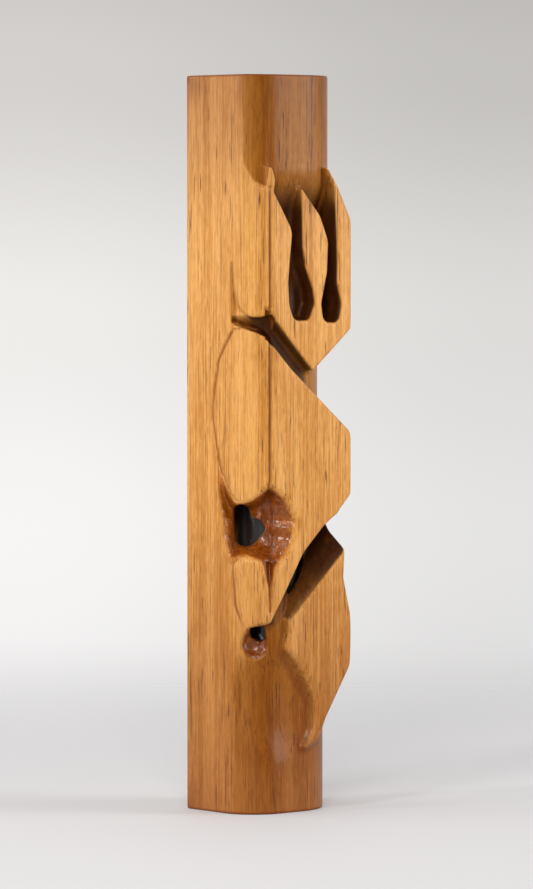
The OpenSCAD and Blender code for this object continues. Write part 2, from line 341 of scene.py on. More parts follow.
def carve_channels(solid, ground, block):
    """The slots between the fingers, then the upper and the lower channel."""
    lean = WALL_LEAN * np.maximum(-block, 0)
    floor = ground + FINGER_FLOOR * fall(Z, *FINGER_FLOOR_Z)
    closed = FINGER_CLOSED - ramp(Z, *FINGER_OPEN_Z)
    floor = join(floor, bore_wall(), FLOOR_FILLET)
    solid = cut(solid, on_front(FINGER_GAPS) + lean, floor, CUT_RIM * closed, closed)
    slope = np.clip(UPPER_START + UPPER_SLOPE * below_lip(), 0, UPPER_DEEPEST) * fall(X, *UPPER_SLOPE_X)
    above_ground = UPPER_FLOOR + UPPER_FLOOR_LEFT * ramp(Q2, -7, -3)[:, :, None]
    above_ground = above_ground + UPPER_FLOOR_RIGHT * ramp(X, 3, 8)
    floor = join(np.maximum(block + slope, ground + above_ground), bore_wall(), FLOOR_FILLET)
    solid = cut(solid, upper_channel() + lean, floor, CUT_RIM, UPPER_FILLET)
    lower = meet(on_front(LOWER_CHANNEL) + lean, -blade_top(), LOWER_FILLET)
    return cut(solid, lower, ground + LOWER_FLOOR * ramp(X, *LOWER_FLOOR_X), CUT_RIM, LOWER_FILLET)


# ---- the left edge: creases, spoon and upright grooves ----

PILLOW = [
    (0.6, 98), (-7.2, 98.6, 2), (-10.2, 92.4, 8), (-11.6, 81.6, 16), (-10, 70.4, 10), (-7, 63.6, 2),
    (0.6, 63)]
LOBE = [
    (0.3, 40), (0.3, 50), (-1, 51.2, 1.6), (-5.2, 52.9, 2), (-7.4, 51.2, 1), (-6.8, 42.3, 4),
    (-5.3, 38.4, 0.5)]
CREASE_DEPTH, CREASE_REACH, PILLOW_STEP = 0.38, 0.5, 0.16
SPOON_Q, SPOON_Z, SPOON_WIDE, SPOON_HIGH, SPOON_LEAN, SPOON_DEPTH = 0.6, 22.5, 8.6, 14.5, 0.12, 1.25
GROOVE_IN_X, GROOVE_IN_Y, GROOVE_RIM = 0.05, 0.1, 0.3
MIDDLE_GROOVE, MIDDLE_GROOVE_Z = 0.5, (60, 97.5)
UPPER_GROOVE, UPPER_GROOVE_Z = 0.44, (102.6, 127.4)
TAIL_GROOVE, TAIL_GROOVE_FLARE, TAIL_FLARE_Z, TAIL_GROOVE_Z = 0.14, 1.5, (43, 54.5), (40, 55)


def upright_groove(solid, radius, low, high):
    """A narrow round groove down the edge between the left facet and the front facet."""
    away = np.sqrt((X - ARRIS_X - GROOVE_IN_X) ** 2 + (Y - FRONT - GROOVE_IN_Y) ** 2) - radius
    return meet(solid, -np.maximum(away, np.maximum(low - Z, Z - high)), GROOVE_RIM)


def shape_left_edge(solid):
    """The creases round the pillow and the lobe, the shallow spoon below and the upright grooves."""
    near = ramp(T, 2, 5)
    left = fall(QS[:, None], -6.4, -5)
    for form in (on_corner(PILLOW), on_corner(LOBE)):
        crease = (CREASE_DEPTH * dent(form, CREASE_REACH) + PILLOW_STEP * ramp(-form, 0, 0.3)) * left
        solid = solid + spread(crease.astype(np.float32)) * near
    across = Q2[:, :, None] - SPOON_Q + (Z - SPOON_Z) * SPOON_LEAN
    reach = np.sqrt((across / SPOON_WIDE) ** 2 + ((Z - SPOON_Z) / SPOON_HIGH) ** 2)
    solid = solid + (SPOON_DEPTH * fall(reach, 0.25, 1) * near).astype(np.float32)
    solid = upright_groove(solid, MIDDLE_GROOVE, *MIDDLE_GROOVE_Z)
    solid = upright_groove(solid, UPPER_GROOVE, *UPPER_GROOVE_Z)
    flare = TAIL_GROOVE + TAIL_GROOVE_FLARE * ramp(Z, *TAIL_FLARE_Z)
    return upright_groove(solid, flare, *TAIL_GROOVE_Z)


# ---- bowl, window, peep hole ----

BOWL = [
    (0.2, 67, 0.3), (3.6, 64.3, 2), (6.3, 59.2, 2.5), (4.9, 54.4, 3), (1.2, 49.6, 1), (-1, 51.2, 1.6),
    (-5.2, 52.7, 2), (-7.5, 50.4, 0.3), (-9.4, 56.6, 3), (-10.2, 65, 8), (-10.5, 72.6), (-8.5, 66.6, 4),
    (-6.6, 63, 1.5), (-3.6, 63.8, 1)]
BOWL_TAIL = [(1.7, 52), (1, 49.6, 2), (0.5, 45, 3), (0.28, 41.2), (0, 41.2), (-0.2, 46.6, 3), (-1.4, 52)]
BOWL_SOFTNESS, BOWL_FILLET, BOWL_RIM = 1.1, 0.8, 0.9
BOWL_EASE = 0.8
BOWL_Q, BOWL_Z = -4.2, 58.8
BOWL_LEFT, BOWL_RIGHT, BOWL_UPPER, BOWL_LOWER, TAIL_LEAN = 0.72, 1.3, 0.25, 0.45, 0.5
LEDGE_Z, LEDGE_WIDTH, LEDGE_RISE = 58.2, 1.9, 0.7
WINDOW = [
    (-7, 62.3, 0.8), (-5.5, 63.1, 0.8), (-4.2, 62, 1), (-3.7, 60.4, 1), (-1.7, 59.6, 1),
    (-0.7, 57.8, 1), (-3, 54.8, 2), (-4.9, 54.1, 1.2), (-6.5, 54.7, 1), (-7, 58.5)]
PEEP = [(-3.9, 38, 0.5), (-0.9, 38.4, 0.5), (-0.7, 35.8, 0.9), (-1.8, 34.9, 0.8), (-3.7, 36, 0.8)]
DISH_CEILING = [(-9, 38.2), (-5, 37.4, 1), (0.3, 38.6), (1.4, 40), (1.4, 28), (-9, 28)]
DISH_AT, DISH_RADII = (-2.8, 34.6, 13), (3.1, 3.3, 3.4)
PIT_AT, PIT_RADII = (-5.9, 99.2, 10.6), (1.0, 0.9, 1.3)
WINDOW_T = 1


def hollow(centre, radii):
    """Distance to an ellipsoid given by its centre and radii along (q, z, t)."""
    q, z, t = Q2[:, :, None] - centre[0], Z - centre[1], T - centre[2]
    stretched = np.sqrt((q / radii[0]) ** 2 + (z / radii[1]) ** 2 + (t / radii[2]) ** 2)
    return (stretched - 1) * min(radii)


def bowl_draft():
    """How far the bowl's wall leans outward for each millimetre of depth: most on the right."""
    across, up = QS[:, None] - BOWL_Q, ZS[None, :] - BOWL_Z
    reach = across ** 2 + up ** 2 + 0.01
    sides = np.where(across > 0, BOWL_RIGHT, BOWL_LEFT) * across ** 2
    ends = np.where(up > 0, BOWL_UPPER, BOWL_LOWER) * up ** 2
    return ((sides + ends) / reach).astype(np.float32)


def bowl_field(depth):
    """The bowl with a ledge across its right wall and a tail below, short of the scroll channel."""
    rim = soften(on_corner(BOWL), BOWL_SOFTNESS)
    ledge = LEDGE_RISE * dent(ZS[None, :] - LEDGE_Z, LEDGE_WIDTH) * ramp(QS[:, None], -2.5, 0)
    bowl = spread((rim + ledge * ramp(-rim, 0.3, 2)).astype(np.float32)) + spread(bowl_draft()) * depth
    tail = spread(on_corner(BOWL_TAIL)) + TAIL_LEAN * depth
    return meet(join(bowl, tail, BOWL_FILLET), -bore_wall(), BOWL_FILLET) * BOWL_EASE


def carve_openings(solid):
    """The bowl with its window on to the scroll tube, a pit, and the peep hole in its small dish."""
    carved = meet(solid, -bowl_field(np.maximum(-solid, 0)), BOWL_RIM)
    carved = meet(carved, -hollow(PIT_AT, PIT_RADII), 0.3)
    carved = meet(carved, -meet(spread(on_corner(WINDOW)), WINDOW_T - T, 0.5), 0.5)
    carved = meet(carved, -meet(hollow(DISH_AT, DISH_RADII), spread(on_corner(DISH_CEILING)), 0.4), 0.6)
    return meet(carved, -meet(spread(on_corner(PEEP)), WINDOW_T - T, 0.5), 0.4)


# ---- the back: scroll channel, rebate, recesses and holes ----

CHANNEL_END = 23
COVER_GAP, COVER_SEAT = 0.15, 0.05
PLATE_GAP = 0.1
KEY_Z, KEY_RISE, KEY_ROOM, KEY_R, KEY_CLEAR = 4.2, 5, 5, 3.5, 0.3
HEAD_R = 2
SCREW_HOLES = {"cover_screws": (1.3, 8.3), "hanger_screws": (1.15, 8)}
PAST_BACK = 5


def box_field(low, high, gap=0.0):
    """Distance to a box, wider by a gap in x and z, that may run past the block."""
    near = np.maximum(low[0] - gap - X, X - (high[0] + gap))
    near = np.maximum(near, np.maximum(low[1] - Y, Y - high[1]))
    return np.maximum(near, np.maximum(low[2] - gap - Z, Z - (high[2] + gap)))


def hole_field(x, z, radius, depth):
    """A round hole into the back face."""
    return np.maximum(np.sqrt((X - x) ** 2 + (Z - z) ** 2) - radius, BACK - depth - Y)


def rebate(node, gap, deeper=0.0):
    """Room for a board let into the back."""
    low, high = corners_mm(node)
    return box_field((low[0], low[1] - deeper, low[2]), (high[0], BACK + PAST_BACK, high[2]), gap)


def head_room(key_z):
    """Room behind a hanger plate for the head of a wall screw, from its entry to its seat."""
    slot = box_field((-KEY_R, BACK - KEY_ROOM, key_z), (KEY_R, BACK + PAST_BACK, key_z + KEY_RISE))
    return np.minimum(hole_field(0, key_z, KEY_R + KEY_CLEAR, KEY_ROOM), slot)


def hollow_back(solid):
    bore = np.where(Y > AXIS_Y, np.abs(X), np.sqrt(X ** 2 + (Y - AXIS_Y) ** 2)) - BORE_R
    solid = np.maximum(solid, -np.maximum(bore, np.maximum(CHANNEL_END - Z, Z - (TOP - CHANNEL_END))))
    solid = np.maximum(solid, -rebate("back_cover", COVER_GAP, COVER_SEAT))
    for plate in ("hanger_plate_top", "hanger_plate_bottom"):
        key_z = corners_mm(plate)[0][2] + KEY_Z
        solid = np.maximum(solid, -np.minimum(rebate(plate, PLATE_GAP), head_room(key_z)))
    for screws, (radius, depth) in SCREW_HOLES.items():
        low, high = corners_mm(screws)
        for x in (low[0] + HEAD_R, high[0] - HEAD_R):
            for z in (low[2] + HEAD_R, high[2] - HEAD_R):
                solid = np.maximum(solid, -hole_field(x, z, radius, depth))
    return solid


# ---- from field to mesh ----

FACE_BUDGET = 180000
BAND = 3 * CELL


def carved_field():
    """The finished block, and the block at three stages before it."""
    ground, block = ground_field(), section(RELIEF)
    forms = raised_forms(ground, block)
    channelled = carve_channels(forms, ground, block)
    edged = shape_left_edge(channelled)
    solid = carve_openings(edged)
    solid = np.maximum(meet(solid, ends_field(), END_EDGE), section(BLOCK))
    return hollow_back(solid), forms, channelled, edged


def sample(field, points):
    """Trilinear reading of a field at points in millimetres."""
    field = np.broadcast_to(field, (len(XS), len(YS), len(ZS)))
    place = (points - np.array([XS[0], YS[0], ZS[0]])) / CELL
    cell = np.clip(place.astype(int), 0, np.array(field.shape) - 2)
    part = place - cell
    total = np.zeros(len(points))
    for corner in np.ndindex(2, 2, 2):
        weight = np.prod(np.where(corner, part, 1 - part), 1)
        total += weight * field[tuple((cell + corner).T)]
    return total


def field_normals(field, points):
    step = 0.8 * CELL
    slopes = [sample(field, points + step * way) - sample(field, points - step * way) for way in np.eye(3)]
    normals = np.stack(slopes, 1)
    return normals / np.maximum(np.linalg.norm(normals, axis=1, keepdims=True), 1e-9)


def mesh_from(field, name):
    grid = openvdb.FloatGrid(BAND)
    grid.copyFromArray(np.clip(field, -BAND, BAND).astype(np.float32))
    points, triangles, quads = grid.convertToPolygons(isovalue=0, adaptivity=0.0)
    points = points * CELL + np.array([XS[0], YS[0], ZS[0]])
    faces = [tuple(f) for f in quads.tolist()] + [tuple(f) for f in triangles.tolist()]
    mesh = bpy.data.meshes.new(name)
    mesh.from_pydata((points * MM).tolist(), [], faces)
    mesh.update()
    return mesh


def add_object(name, mesh):
    piece = bpy.data.objects.new(name, mesh)
    bpy.context.scene.collection.objects.link(piece)
    return piece


def apply_modifiers(piece):
    graph = bpy.context.evaluated_depsgraph_get()
    mesh = bpy.data.meshes.new_from_object(piece.evaluated_get(graph))
    piece.modifiers.clear()
    piece.data = mesh


def thin_out(piece):
    """Fewer triangles, where there are more than the budget."""
    triangles = 2 * len(piece.data.polygons)
    if triangles > FACE_BUDGET:
        piece.modifiers.new("thin", "DECIMATE").ratio = FACE_BUDGET / triangles
        apply_modifiers(piece)


def vertices_mm(mesh):
    points = np.empty(len(mesh.vertices) * 3, np.float32)
    mesh.vertices.foreach_get("co", points)
    return points.reshape(-1, 3) / MM


# ---- where stain and varnish gather, and where shade is painted, noted at each vertex ----

BEND_REACH = 0.6
HIDDEN_STAIN = 0.4
HEAD_STAIN_Q, HEAD_STAIN_Z = (-5.9, -4.5), (120, 126)
FOOT_STAIN_LEFT_Q, FOOT_STAIN_RIGHT_Q, FOOT_STAIN_Z = (-8.4, -6.2), (-3.5, -1.5), (28, 35)
GROUND_POOL_Q, GROUND_POOL_WIDTH, GROUND_POOL = 0.4, 6, 0.28
FOOT_FADE, FOOT_FADE_Z = 0.4, (5, 12)
# Painted shade in the channels: where it fades, and the band of it under the upper channel's lip
FINGER_FADE, FINGER_FADE_Z = 0.9, (122, 130)
LIP_SHADE, LIP_SHADE_AT, LIP_SHADE_BELOW = 0.86, (-0.5, 0.3), (0.2, 2)
UPPER_SHADE_Q, UPPER_FADE, UPPER_FADE_X = (-6.6, -3), 0.8, (1.4, 3)
LOWER_FADE, LOWER_FADE_Z = 0.3, (42, 52)
LOWER_END, LOWER_END_Z, LOWER_SEEN_Y = 0.85, (38, 46), (-3, -1)
BLADE_LINE, BLADE_LINE_OUT, BLADE_LINE_WIDTH = 0.8, 0.5, 1.2
BLADE_LINE_X, BLADE_LINE_FROM_Z, BLADE_LINE_TO_Z = (3.5, 6), (9, 14), (31, 35)


def depth_under(field, points):
    """How far each point lies inside a field's solid."""
    return np.maximum(-sample(field, points), 0)


def bending(field, points):
    """How sharply the surface bends at each point: above 0 on outer edges, below 0 in creases."""
    ways = BEND_REACH * np.concatenate([np.eye(3), -np.eye(3)])
    around = [sample(field, points + way) for way in ways]
    return (np.mean(around, 0) - sample(field, points)) / BEND_REACH


def corner_q(points):
    return points[:, 0] * math.cos(TURN) - points[:, 1] * math.sin(TURN)


def carved_side(points):
    """1 on the carved faces, 0 in the scroll channel and the recesses behind."""
    across, depth = np.abs(points[:, 0]), points[:, 1]
    before_bore = ramp(np.hypot(across, depth - AXIS_Y) - BORE_R, 0.05, 0.3) * fall(depth, -0.5, 0.5)
    beside_bore = ramp(across, 7.4, 8.2) * fall(depth, 5.5, 6.5)
    return np.maximum(before_bore, np.maximum(beside_bore, ramp(across, 10.4, 11.4)))


def ground_stain(points, below_relief):
    """Stain on the ground: deepest down its middle, thin at the foot."""
    corner, height = corner_q(points), points[:, 2]
    above = ramp(sample(field_outline(), points), 0, 0.5)
    above = above * ramp(corner, *HEAD_STAIN_Q) * ramp(height, *HEAD_STAIN_Z)
    below = ramp(corner, *FOOT_STAIN_LEFT_Q) * fall(corner, *FOOT_STAIN_RIGHT_Q) * fall(height, *FOOT_STAIN_Z)
    band_share = 1 - GROUND_POOL + GROUND_POOL * dent(corner - GROUND_POOL_Q, GROUND_POOL_WIDTH)
    darkening = np.maximum(below_relief, np.maximum(above, below)) * band_share
    return darkening * (1 - FOOT_FADE * fall(height, *FOOT_FADE_Z))


def channel_shade(points, forms, channelled, below_relief, carved):
    """Painted shade in the channels, near black, over stain gathered there: deepest along each one's lower
    side.
    """
    across, height = points[:, 0], points[:, 2]
    cut_depth = depth_under(forms, points) - depth_under(channelled, points)
    darkening = ramp(cut_depth, 0.02, 0.35) * (1 - FINGER_FADE * ramp(height, *FINGER_FADE_Z))
    under = sample(below_lip(), points)
    band_share = LIP_SHADE * ramp(under, *LIP_SHADE_AT) + (1 - LIP_SHADE) * ramp(under, *LIP_SHADE_BELOW)
    band_share = band_share * ramp(corner_q(points), *UPPER_SHADE_Q) * (1 - UPPER_FADE * ramp(across, *UPPER_FADE_X))
    in_upper = fall(sample(upper_channel(), points), 0, 0.3)
    in_lower = fall(sample(on_front(LOWER_CHANNEL), points), -0.2, 0.2)
    darkening = darkening * (1 - LOWER_FADE * in_lower * fall(height, *LOWER_FADE_Z)) * (1 - in_upper * (1 - band_share))
    lower_end = LOWER_END * in_lower * ramp(height, *LOWER_END_Z) * below_relief
    seen = np.maximum(carved, in_lower * fall(points[:, 1], *LOWER_SEEN_Y))
    return np.maximum(darkening, lower_end) * seen


def crease_shade_and_lines(points, field, carved):
    """Painted shade in the creases, over stain gathered there, and dark lines on the end edges and along the
    foot of the blade.
    """
    across, height = points[:, 0], points[:, 2]
    bend = bending(field, points)
    ends = ramp(np.abs(height - TOP / 2), TOP / 2 - 1.2, TOP / 2 - 0.5)
    line = dent(sample(on_front(BLADE_FRONT), points) - BLADE_LINE_OUT, BLADE_LINE_WIDTH)
    line = line * fall(across, *BLADE_LINE_X)
    line = line * fall(height, *BLADE_LINE_TO_Z) * ramp(height, *BLADE_LINE_FROM_Z)
    # Concave creases get painted shade; convex end edges get a dark line
    creases = np.maximum(ramp(-bend, 0.05, 0.25) * carved, ends * ramp(bend, 0.05, 0.2))
    return np.maximum(creases, BLADE_LINE * line)


def note(mesh, name, values):
    mesh.attributes.new(name, "FLOAT", "POINT").data.foreach_set("value", values.astype(np.float32))


def carve_body():
    field, forms, channelled, edged = carved_field()
    piece = add_object("carved_body", mesh_from(field, "carved_body"))
    thin_out(piece)
    mesh = piece.data
    points = vertices_mm(mesh)
    mesh.shade_smooth()
    mesh.normals_split_custom_set_from_vertices(field_normals(field, points))
    carved = carved_side(points)
    between_ends = fall(np.abs(points[:, 2] - TOP / 2), TOP / 2 - 2, TOP / 2 - 1)
    below_relief = ramp(-sample(section(RELIEF), points), 0.3, 1.2)
    seen = HIDDEN_STAIN + (1 - HIDDEN_STAIN) * carved
    note(mesh, "ground", ground_stain(points, below_relief) * seen)
    note(mesh, "hollow", depth_under(edged, points) * carved * between_ends)
    # channel: painted shade in the channels, over stain gathered there
    channel = channel_shade(points, forms, channelled, below_relief, carved)
    note(mesh, "channel", channel * between_ends)
    # crease: painted shade in the creases, and dark lines on the end edges and the blade's foot
    note(mesh, "crease", crease_shade_and_lines(points, field, carved))
    return piece


# ---- materials ----

class Nodes:
    """A node tree under construction."""

    def __init__(self, tree):
        self.tree = tree

    def node(self, kind, inputs=(), **settings):
        made = self.tree.nodes.new(kind)
        for key, value in settings.items():
            setattr(made, key, value)
        for key, value in dict(inputs).items():
            self.feed(made.inputs[key], value)
        return made

    def feed(self, socket, value):
        if isinstance(value, bpy.types.NodeSocket):
            self.tree.links.new(value, socket)
        else:
            socket.default_value = value

    def map(self, value, low, high, to_low=0.0, to_high=1.0, smooth=True):
        inputs = {"Value": value, "From Min": low, "From Max": high, "To Min": to_low, "To Max": to_high}
        kind = "SMOOTHSTEP" if smooth else "LINEAR"
        return self.node("ShaderNodeMapRange", inputs, interpolation_type=kind).outputs[0]

    def math(self, kind, a, b=0.0):
        return self.node("ShaderNodeMath", {0: a, 1: b}, operation=kind).outputs[0]

    def add(self, a, b):
        return self.math("ADD", a, b)

    def times(self, a, b):
        return self.math("MULTIPLY", a, b)

    def mix(self, factor, a, b, blend="MIX"):
        made = self.node("ShaderNodeMix", data_type="RGBA", blend_type=blend)
        for socket, value in ((made.inputs[0], factor), (made.inputs[6], a), (made.inputs[7], b)):
            if isinstance(value, tuple):
                value = (*value, 1)
            self.feed(socket, value)
        return made.outputs[2]


class Shader(Nodes):
    """A node material under construction."""

    def __init__(self, name):
        self.material = bpy.data.materials.new(name)
        self.material.use_nodes = True
        super().__init__(self.material.node_tree)
        self.surface = self.tree.nodes["Principled BSDF"]

    def set(self, **inputs):
        for key, value in inputs.items():
            self.feed(self.surface.inputs[key.replace("_", " ")], value)
        return self

    def place(self, scale=(1, 1, 1)):
        """Object coordinates in millimetres, times a scale for each axis."""
        source = self.node("ShaderNodeTexCoord").outputs["Object"]
        per_mm = [s / MM for s in scale]
        return self.node("ShaderNodeMapping", {"Vector": source, "Scale": per_mm}).outputs[0]

    def axes(self):
        return self.node("ShaderNodeSeparateXYZ", {0: self.place()}).outputs

    def noise(self, scale, detail=3, rough=0.55, distort=0.0):
        inputs = {"Vector": self.place(scale), "Scale": 1, "Detail": detail, "Roughness": rough}
        inputs["Distortion"] = distort
        return self.node("ShaderNodeTexNoise", inputs).outputs["Fac"]

    def wave(self, direction):
        inputs = {"Vector": self.place(), "Scale": 1.3, "Distortion": 0.4}
        return self.node("ShaderNodeTexWave", inputs, bands_direction=direction).outputs["Fac"]

    def attribute(self, name):
        return self.node("ShaderNodeAttribute", attribute_name=name).outputs["Fac"]

    def bump(self, height, distance_mm, strength=1.0):
        inputs = {"Height": height, "Distance": distance_mm * MM, "Strength": strength}
        return self.node("ShaderNodeBump", inputs).outputs[0]


WOOD_PALE = (0.66, 0.325, 0.088)
WOOD_MID = (0.45, 0.175, 0.024)
WOOD_PORE = (0.085, 0.022, 0.010)
GROUND_TINT = (0.50, 0.345, 0.01)
HOLLOW_TINT = (0.92, 0.62, 0.19)
HOLLOW_SPECKS = (0.52, 0.34, 0.12)
# Near-black painted shade in the channels, with lighter streaks through it
CHANNEL_SHADE_COLOR = (0.022, 0.003, 0.0001)
CHANNEL_SHADE_STREAK = (0.055, 0.011, 0.001)
GROOVE_TINT = (0.42, 0.24, 0.09)
# Dark brown for the creases' painted shade and for the dark lines on the end edges and the blade's foot
CREASE_SHADE_AND_LINE_COLOR = (0.16, 0.033, 0.004)
FOOT_TONE = (0.56, 0.43, 0.36)
HEAD_TONE = (0.64, 0.56, 0.54)
NO_TONE = (1, 1, 1)
SHEEN_TINT = (1, 0.86, 0.66, 1)

# Grain runs along z: cycles of noise for each millimetre in x, y and z
FLOW_GRAIN = (0.22, 0.22, 0.012)
FIBRE_GRAIN = (2.3, 2.3, 0.045)
MOTTLE_GRAIN = (1.2, 1.2, 0.4)
FINE_GRAIN = (5.5, 5.5, 0.35)
PORE_GRAIN = (3.4, 3.4, 0.13)
CLUSTER_GRAIN = (0.45, 0.45, 0.03)
LINE_GRAIN = (2.4, 2.4, 0.03)
SPECK_GRAIN = (1.1, 1.1, 0.9)
STREAK_GRAIN = (0.5, 0.5, 0.12)
RIPPLE_GRAIN = (0.35, 0.35, 0.12)
RUN_GRAIN = (0.55, 0.55, 0.4)

FOOT_TONE_Z, HEAD_TONE_Z = (0, 75), (112, 150)
GROOVE_TINT_X, GROOVE_TINT_Y = (0.1, 0.32), (0.8, 1.6)
GROOVE_TINT_FROM_Z, GROOVE_TINT_TO_Z = (50, 62), (126, 127.5)
FINE_AMOUNT, PORE_AMOUNT, LINE_AMOUNT = 0.22, 0.85, 0.55
# How strongly the channels' painted shade, and the creases' painted shade and dark lines, are laid on
CHANNEL_SHADE_AMOUNT, CREASE_SHADE_AND_LINE_AMOUNT = 0.96, 0.75
GRAIN_RELIEF = 0.12


def wood_tone(shader):
    """A value that drifts and streaks along the grain."""
    flow = shader.noise(FLOW_GRAIN, 2, 0.5, 0.5)
    fibres = shader.noise(FIBRE_GRAIN, 4, 0.65)
    mottle = shader.noise(MOTTLE_GRAIN, 3, 0.6)
    streaked = shader.add(shader.times(flow, 0.35), shader.times(fibres, 0.45))
    return shader.add(streaked, shader.times(mottle, 0.2))


def wood_grain(shader):
    """Colour of straight grain along z, and a 0 to 1 value that is high in the open pores."""
    color = shader.mix(shader.map(wood_tone(shader), 0.39, 0.61), WOOD_PALE, WOOD_MID)
    fine = shader.map(shader.noise(FINE_GRAIN, 2, 0.5), 0.50, 0.68)
    streaks = shader.map(shader.noise(PORE_GRAIN, 2, 0.5), 0.63, 0.67)
    clusters = shader.map(shader.noise(CLUSTER_GRAIN, 2, 0.5), 0.42, 0.58)
    streaks = shader.times(streaks, clusters)
    dark_lines = shader.map(shader.noise(LINE_GRAIN, 2, 0.5), 0.63, 0.70)
    for amount, marks in ((FINE_AMOUNT, fine), (PORE_AMOUNT, streaks), (LINE_AMOUNT, dark_lines)):
        color = shader.mix(shader.times(marks, amount), color, WOOD_PORE)
    return color, shader.math("MAXIMUM", shader.times(fine, 0.4), streaks)


def darker_at_ends(shader, color):
    """Wood colour, darker towards the foot and the head of the case."""
    height = shader.axes()["Z"]
    foot = shader.mix(shader.map(height, *FOOT_TONE_Z), FOOT_TONE, NO_TONE)
    head = shader.mix(shader.map(height, *HEAD_TONE_Z), NO_TONE, HEAD_TONE)
    return shader.mix(1.0, shader.mix(1.0, color, foot, "MULTIPLY"), head, "MULTIPLY")


def groove_line(shader):
    """1 along the narrow groove on the edge between the left facet and the front facet."""
    parts = shader.axes()
    aside = shader.math("ABSOLUTE", shader.math("SUBTRACT", parts["X"], ARRIS_X))
    line = shader.map(aside, *GROOVE_TINT_X, 1, 0)
    near, far = (float(FRONT) + y for y in GROOVE_TINT_Y)
    line = shader.times(line, shader.map(parts["Y"], near, far, 1, 0))
    line = shader.times(line, shader.map(parts["Z"], *GROOVE_TINT_FROM_Z))
    return shader.times(line, shader.map(parts["Z"], *GROOVE_TINT_TO_Z, 1, 0))


def stained_and_shaded(shader, color, hollow, channel):
    """Wood colour with stain in the bowl, painted shade in the channels and the creases, dark lines on the
    end edges and the blade's foot, and a tint along the groove.
    """
    specks = shader.map(shader.noise(SPECK_GRAIN, 4, 0.7), 0.40, 0.62)
    color = shader.mix(hollow, color, shader.mix(specks, HOLLOW_TINT, HOLLOW_SPECKS), "MULTIPLY")
    streak = shader.map(shader.noise(STREAK_GRAIN, 3, 0.6), 0.46, 0.72)
    # Painted shade in the channels: near black, with lighter streaks
    dark = shader.mix(streak, CHANNEL_SHADE_COLOR, CHANNEL_SHADE_STREAK)
    color = shader.mix(shader.times(channel, CHANNEL_SHADE_AMOUNT), color, dark)
    # Painted shade in the creases, and dark lines on the end edges and the blade's foot
    color = shader.mix(shader.times(shader.attribute("crease"), CREASE_SHADE_AND_LINE_AMOUNT), color, CREASE_SHADE_AND_LINE_COLOR)
    return shader.mix(groove_line(shader), color, GROOVE_TINT, "MULTIPLY")


def carved_wood():
    shader = Shader("carved_wood")
    color, pores = wood_grain(shader)
    ground = shader.attribute("ground")
    hollow = shader.map(shader.attribute("hollow"), 0.1, 1.2)
    channel = shader.attribute("channel")
    color = darker_at_ends(shader, shader.mix(ground, color, GROUND_TINT, "MULTIPLY"))
    ripple = shader.noise(RIPPLE_GRAIN, 2, 0.5)
    runs = shader.times(shader.noise(RUN_GRAIN, 1, 0.5), hollow)
    height = shader.math("SUBTRACT", shader.times(ripple, 0.6), shader.times(pores, 0.25))
    wet = shader.add(height, shader.times(runs, 9.0))
    return shader.set(
        Base_Color=stained_and_shaded(shader, color, hollow, channel),
        Roughness=shader.add(shader.map(ground, 0, 1, 0.42, 0.34, False), shader.times(channel, 0.12)),
        Specular_IOR_Level=0.2,
        Specular_Tint=SHEEN_TINT,
        Coat_Weight=shader.map(hollow, 0, 1, 0.05, 0.6, False),
        Coat_Roughness=0.05,
        Coat_Normal=shader.bump(wet, GRAIN_RELIEF, 0.9),
        Normal=shader.bump(height, GRAIN_RELIEF, 0.6),
    ).material


def plain_wood():
    shader = Shader("cover_wood")
    color, pores = wood_grain(shader)
    return shader.set(
        Base_Color=darker_at_ends(shader, color),
        Roughness=0.38,
        Coat_Weight=0.3,
        Coat_Roughness=0.15,
        Normal=shader.bump(pores, -0.05),
    ).material


# ---- brass, plastic, parchment and cloth ----

BRASS_BRIGHT, BRASS_TARNISHED = (0.78, 0.56, 0.24), (0.55, 0.36, 0.13)
PLASTIC_DARK, PLASTIC_SCUFFED = (0.012, 0.011, 0.011), (0.03, 0.027, 0.026)
SKIN_PALE, SKIN_MID, SKIN_PORE = (0.80, 0.70, 0.50), (0.68, 0.55, 0.34), (0.45, 0.33, 0.18)
CLOTH_SHADE, CLOTH_PALE = (0.62, 0.57, 0.46), (0.86, 0.82, 0.72)


def brass(name, rough, stretch):
    shader = Shader(name)
    brushed = shader.noise(stretch, 3, 0.6)
    tarnish = shader.noise((0.3, 0.3, 0.3), 3, 0.6)
    return shader.set(
        Base_Color=shader.mix(shader.map(tarnish, 0.4, 0.7), BRASS_BRIGHT, BRASS_TARNISHED),
        Metallic=1.0,
        Roughness=shader.map(brushed, 0.3, 0.7, rough * 0.8, rough * 1.3),
        Normal=shader.bump(brushed, 0.01, 0.4),
    ).material


def dark_plastic(name, rough):
    shader = Shader(name)
    streaks = shader.noise((0.6, 0.6, 0.02), 3, 0.6)
    specks = shader.noise((3, 3, 3), 2, 0.5)
    return shader.set(
        Base_Color=shader.mix(shader.map(streaks, 0.35, 0.7), PLASTIC_DARK, PLASTIC_SCUFFED),
        Roughness=shader.map(specks, 0.35, 0.75, rough, rough * 1.6),
        Coat_Weight=0.6,
        Coat_Roughness=0.05,
        Normal=shader.bump(specks, 0.01, 0.3),
    ).material


def parchment():
    shader = Shader("parchment")
    mottle = shader.noise((0.12, 0.12, 0.1), 4, 0.6)
    follicles = shader.noise((2.5, 2.5, 2.5), 2, 0.5)
    color = shader.mix(shader.map(mottle, 0.35, 0.7), SKIN_PALE, SKIN_MID)
    return shader.set(
        Base_Color=shader.mix(shader.map(follicles, 0.62, 0.75, 0, 0.25), color, SKIN_PORE),
        Roughness=0.62,
        Subsurface_Weight=0.08,
        Normal=shader.bump(follicles, 0.03, 0.5),
    ).material


def woven_tape():
    shader = Shader("band_cloth")
    weave = shader.times(shader.wave("X"), shader.wave("Z"))
    return shader.set(
        Base_Color=shader.mix(weave, CLOTH_SHADE, CLOTH_PALE),
        Roughness=0.85,
        Normal=shader.bump(weave, 0.05),
    ).material


